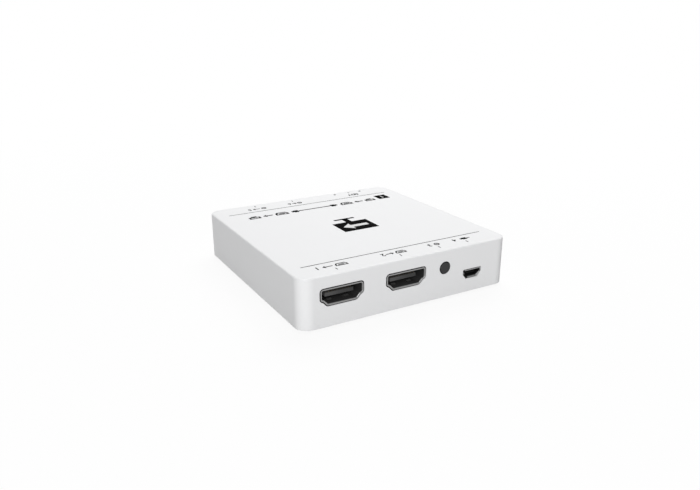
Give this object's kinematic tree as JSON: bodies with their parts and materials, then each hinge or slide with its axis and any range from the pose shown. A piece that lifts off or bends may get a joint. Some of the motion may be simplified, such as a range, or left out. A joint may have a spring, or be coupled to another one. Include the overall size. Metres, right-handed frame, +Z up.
{
  "type": "video extender",
  "caption": "Flat white square box that sends a video signal over a network cable, with video sockets, a push button and a power socket on one side.",
  "frame": {"origin": "centre of the casing's footprint, on the surface that its feet stand on", "axes": "+Z up, -Y out of the side with the video sockets, +X to the right as one looks at that side"},
  "size_m": [0.0804, 0.0817, 0.0176],
  "materials": {
    "casing_white": "fine matt moulding",
    "base_white": "fine matt moulding",
    "foot_rubber": "matt",
    "screw_steel": "zinc plated",
    "board_green": "solder mask",
    "shell_steel": "satin nickel",
    "insulator_black": "fine matt moulding",
    "contact_gold": "gold flash",
    "button_dark": "fine matt moulding",
    "switch_black": "matt",
    "switch_steel": "tin plated",
    "shield_steel": "tin plated",
    "lamp_green": "clear tinted",
    "lamp_yellow": "clear tinted",
    "lamp_chip": "gloss",
    "chip_black": "matt resin",
    "pad_grey": "soft",
    "sink_black": "black anodised",
    "can_steel": "satin",
    "ferrite_grey": "matt",
    "capacitor_can": "satin",
    "fuse_green": "matt",
    "chip_tan": "matt",
    "chip_dark": "matt"
  },
  "bodies": {
    "casing": {"top_housing": "casing_white", "base_plate": "base_white", "case_screws": "screw_steel", "foot_front_left": "foot_rubber", "foot_front_right": "foot_rubber", "foot_rear_left": "foot_rubber", "foot_rear_right": "foot_rubber", "circuit_board": "board_green", "board_screws": "screw_steel", "video_out_shell": "shell_steel", "video_out_insulator": "insulator_black", "video_out_contacts": "contact_gold", "video_in_shell": "shell_steel", "video_in_insulator": "insulator_black", "video_in_contacts": "contact_gold", "power_shell": "shell_steel", "power_insulator": "insulator_black", "power_contacts": "contact_gold", "switch_housing": "switch_black", "switch_cover": "switch_steel", "switch_dome": "switch_steel", "switch_terminals": "switch_steel", "network_jack_housing": "insulator_black", "network_jack_shield": "shield_steel", "network_jack_contacts": "contact_gold", "link_lamp": "lamp_green", "activity_lamp": "lamp_yellow", "lamp_chips": "lamp_chip", "ir_out_body": "insulator_black", "ir_out_sleeve": "shield_steel", "ir_out_springs": "switch_steel", "ir_in_body": "insulator_black", "ir_in_sleeve": "shield_steel", "ir_in_springs": "switch_steel", "extender_chip": "chip_black", "thermal_pad": "pad_grey", "heatsink": "sink_black", "splitter_chip": "chip_black", "control_chip": "chip_black", "memory_chip": "chip_black", "clock_crystal": "can_steel", "network_transformer": "chip_black", "power_inductor": "ferrite_grey", "regulator_chip": "chip_black", "power_capacitor": "capacitor_can", "input_fuse": "fuse_green", "protection_chips": "chip_black", "chip_capacitors": "chip_tan", "chip_resistors": "chip_dark"},
    "button": {"button_cap": "button_dark", "switch_plunger": "switch_black"}
  },
  "joints": [
    {"name": "button_press", "type": "slide", "parent": "casing", "child": "button", "axis": [0, 1, 0], "range_m": [0, 0.00025], "stiffness_N_per_m": 6400}
  ]
}
